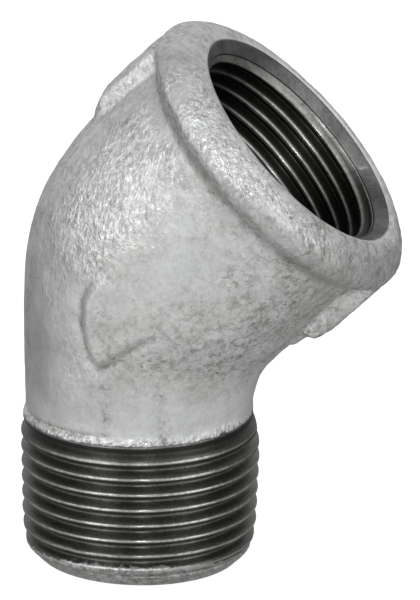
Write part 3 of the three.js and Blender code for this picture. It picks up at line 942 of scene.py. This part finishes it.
def male_thread_material():
    """cut thread, with zinc left on the broken first turn and on the end chamfer"""
    material, nodes = new_material("cut_thread_steel")
    # bright crests and dark flanks: painted highlights and shade
    thread = cut_shader(nodes, MALE_AXIS, crest=0.52, flank=0.15, crest_end=0.11, rough_low=0.3,
                        rough_high=0.36, anisotropy=0.85, streak=(0.3, 0.3, 6.0), wear=0.4,
                        shade_mask=nodes.attribute("under"))
    # ragged upper limit of the zinc
    rag = nodes.noise(scale=0.9, detail=4, rough=0.65)
    height = nodes.times_plus(rag, -1.6, nodes.math("ADD", nodes.attribute("end"), 0.8))
    height = nodes.times_plus(nodes.attribute("soot"), 0.9, height)
    share = nodes.ramp(height, 2.78, 2.56)
    # painted shade in the line round the first turn, stains in spots, and darker away from the
    # front
    from_line = nodes.math("ABSOLUTE", nodes.math("SUBTRACT", nodes.attribute("end"), 1.42))
    line = nodes.ramp(from_line, 0.1, 0.28, low=0.75, high=0.0)
    spots = nodes.ramp(nodes.noise(scale=0.8, detail=5, rough=0.75), 0.42, 0.56)
    soot = nodes.attribute("soot")
    dirt_and_shade = nodes.larger(line, nodes.times_plus(spots, 0.85, nodes.times(soot, 0.45)), clamp=True)
    # painted highlight in a line along the upper limit of the zinc, towards the front
    toward_front = nodes.times_plus(soot, -1.0, 1.0, clamp=True)
    top_line = nodes.times(nodes.ramp(height, 2.2, 2.42), toward_front)
    patches = nodes.ramp(nodes.noise(scale=1.5, detail=4, rough=0.75, distortion=0.3),
                         0.44, 0.6, low=1.15, high=0.4)
    # the coat on the end is darker away from the front, times random patches, and has a painted
    # highlight along its upper limit
    coat = zinc_shader(nodes, 0.68, {
        "grime": dirt_and_shade, "crunch": nodes.value(0.5), "edge": nodes.value(0.1),
        "lip": nodes.times(top_line, 0.7),
        "tone": nodes.times(nodes.times_plus(soot, -0.5, 0.95), patches)})
    nodes.surface(nodes.add("MixShader", {0: share, 1: thread, 2: coat}))
    return material


def end_face_material():
    material, nodes = new_material("end_face_zinc")
    levels = (0.4, 0.3, 0.0, 0.0, 1.0)
    masks = {mask: nodes.value(level) for mask, level in zip(ZINC_MASKS, levels)}
    nodes.surface(zinc_shader(nodes, 0.8, masks))
    return material


def mouth_material():
    """turned lead-in of the socket: fine satin, slightly mottled"""
    material, nodes = new_material("socket_mouth_steel")
    satin = nodes.noise(scale=2.4, detail=4, rough=0.7)
    cloud = nodes.noise(scale=0.22, detail=3, rough=0.55)
    tone = nodes.times(nodes.ramp(satin, 0.3, 0.7, 0.8, 1.2),
                       nodes.ramp(cloud, 0.32, 0.68, 0.16, 0.34))
    # painted highlight from the lead-in's attribute, brightest near 72 degrees
    tone = nodes.times(tone, nodes.attribute("tone"))
    nodes.surface(brushed(nodes, SOCKET_AXIS, nodes.grey(tone), rough=0.42, anisotropy=0.4,
                          normal=nodes.bump(satin, distance=0.00001)))
    return material


def socket_thread_material():
    material, nodes = new_material("socket_thread_steel")
    # bright crests and near black flanks and roots: painted highlights and shade
    nodes.surface(cut_shader(
        nodes, SOCKET_AXIS, crest=0.46, flank=0.052, crest_end=0.3, rough_low=0.34,
        rough_high=0.45, anisotropy=0.7, streak=(0.5, 0.5, 0.5), wear=0.3))
    return material


# in the order of the casting's slots
for make in (male_thread_material, end_face_material, mouth_material, socket_thread_material):
    iron_object.data.materials.append(make())
zinc_object.data.materials.append(zinc_material("dipped_zinc_skin"))
bore_object.data.materials.append(zinc_material("waterway_zinc", level=0.8))

for part, cad, slot in ((iron_object, "elbow_casting", "cut_iron"),
                        (zinc_object, "outer_zinc_coating", "dipped_zinc"),
                        (bore_object, "waterway_zinc_coating", "bore_zinc")):
    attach(part, "root")
    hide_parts(cad)

# ---- camera ----

HEADING, ELEVATION, ROLL = 0.201685179, 0.321038184, 0.018710759  # radians
EYE = (7.957399, 28.108877, 1000.0)  # mm right, up and back, from the male end's centre


def view_axes():
    """rows: the camera's right, up and backward directions"""
    right = np.array([1.0, 0, 0])
    up = np.array([0, math.sin(ELEVATION), math.cos(ELEVATION)])
    back = np.array([0, -math.cos(ELEVATION), math.sin(ELEVATION)])
    cos, sin = math.cos(ROLL), math.sin(ROLL)
    rolled = np.array([cos * right + sin * up, -sin * right + cos * up, back])
    cos, sin = math.cos(-HEADING), math.sin(-HEADING)
    return rolled @ np.array([[cos, -sin, 0], [sin, cos, 0], [0, 0, 1]])


VIEW = view_axes()
eye = (VIEW.T @ np.array(EYE) - np.array([AXIS_X, 0, 0])) / 1000
camera = link("camera", bpy.data.cameras.new("camera"))
camera.data.sensor_fit = "AUTO"
camera.data.sensor_width = 36.0
camera.data.lens = 536.34753
camera.data.clip_start, camera.data.clip_end = 0.05, 20
camera.matrix_world = Matrix.Translation(Vector(eye)) @ Matrix(VIEW.T.tolist()).to_4x4()
scene = bpy.context.scene
scene.camera = camera


# ---- floor: lit for the camera, darker in reflections and away from the camera ----

def floor_material():
    material, nodes = new_material("pale_floor")
    geometry = nodes.new("NewGeometry").outputs
    seen = nodes.add("LightPath", out="Is Camera Ray")
    diffuse = nodes.add("BsdfDiffuse", {"Color": nodes.grey(nodes.remap(seen, 0.1, 0.35))})
    toward = nodes.add(
        "VectorMath", {0: geometry["Position"], 1: (float(VIEW[2][0]), float(VIEW[2][1]), 0.0)},
        out="Value", operation="DOT_PRODUCT")
    bounce = nodes.ramp(toward, -0.04, 0.06, low=0.15, high=0.78)
    strength = nodes.remap(seen, bounce, 0.88)
    glow = nodes.add("Emission", {"Color": (1, 1, 1, 1), "Strength": strength})
    clear = nodes.add("BsdfTransparent")
    both = nodes.add("AddShader", {0: diffuse, 1: glow})
    nodes.surface(nodes.add("MixShader", {0: geometry["Backfacing"], 1: both, 2: clear}))
    return material


floor_mesh = bpy.data.meshes.new("floor")
floor_mesh.from_pydata([(-4, -4, 0), (4, -4, 0), (4, 4, 0), (-4, 4, 0)], [], [(0, 1, 2, 3)])
floor = link("floor", floor_mesh)
floor_mesh.materials.append(floor_material())

# ---- world: white to the camera, softer as a light ----

WORLD_LEVEL = 0.7
ZENITH_EXTRA = BEHIND_EXTRA = 0.0  # added overhead, and behind the elbow

world = bpy.data.worlds.new("studio")
scene.world = world
nodes = Nodes(world)
direction = nodes.add("TexCoord", out="Generated")
height = nodes.add("SeparateXYZ", {0: direction}, out=2)
facing = nodes.add("VectorMath", {0: direction, 1: tuple(VIEW[2])},
                   out="Value", operation="DOT_PRODUCT")
high = nodes.ramp(height, 0.1, 0.9, 0.0, ZENITH_EXTRA)
behind = nodes.ramp(facing, 0.1, -0.6, 0.0, BEHIND_EXTRA)
total = nodes.math("ADD", nodes.math("ADD", high, behind), WORLD_LEVEL)
strength = nodes.remap(nodes.add("LightPath", out="Is Camera Ray"), total, 1.0)
background = nodes.add("Background", {"Color": (1, 1, 1, 1), "Strength": strength})
nodes.new("OutputWorld", {"Surface": background})

# ---- lights ----

LIT_CENTRE = Vector((0, 0, 0.031))
WHITE = (1, 1, 1)
# name, degrees beside the camera (negative is left), degrees above the horizon,
# distance, width and height in metres, watts, colour
SOFTBOXES = (
    ("key_left", -42, 28, 0.8, 0.42, 0.55, 1.22, WHITE),
    ("far_left", -78, 16, 0.8, 0.3, 0.6, 0.25, WHITE),
    ("spark_left", -68, 17, 0.8, 0.06, 0.12, 0.13, WHITE),
    ("front", 0, 26, 1.3, 0.12, 0.2, 2.2, (0.96, 0.96, 1.0)),
    ("wide_front", -8, 30, 1.25, 0.8, 0.6, 0.0, WHITE),
    ("fill_right", 62, 20, 0.8, 0.35, 0.5, 0.66, WHITE),
    ("overhead", -20, 72, 0.9, 0.6, 0.6, 0.34, WHITE),
)


def softbox(name, side_deg, up_deg, distance, width, tall, watts, color):
    around = math.radians(side_deg) + HEADING
    rise = math.radians(up_deg)
    way = Vector((math.sin(around) * math.cos(rise), -math.cos(around) * math.cos(rise),
                  math.sin(rise)))
    light = bpy.data.lights.new(name, "AREA")
    light.shape = "RECTANGLE"
    light.size, light.size_y = width, tall
    light.energy = watts
    light.color = color
    lamp = link(name, light)
    lamp.location = LIT_CENTRE + way * distance
    lamp.rotation_mode = "QUATERNION"
    lamp.rotation_quaternion = way.to_track_quat("Z", "Y")


for row in SOFTBOXES:
    softbox(*row)

scene.view_settings.view_transform = "Standard"
scene.view_settings.look = "None"
scene.view_settings.exposure = 0.0
scene.view_settings.gamma = 1.0
scene.cycles.max_bounces = 8
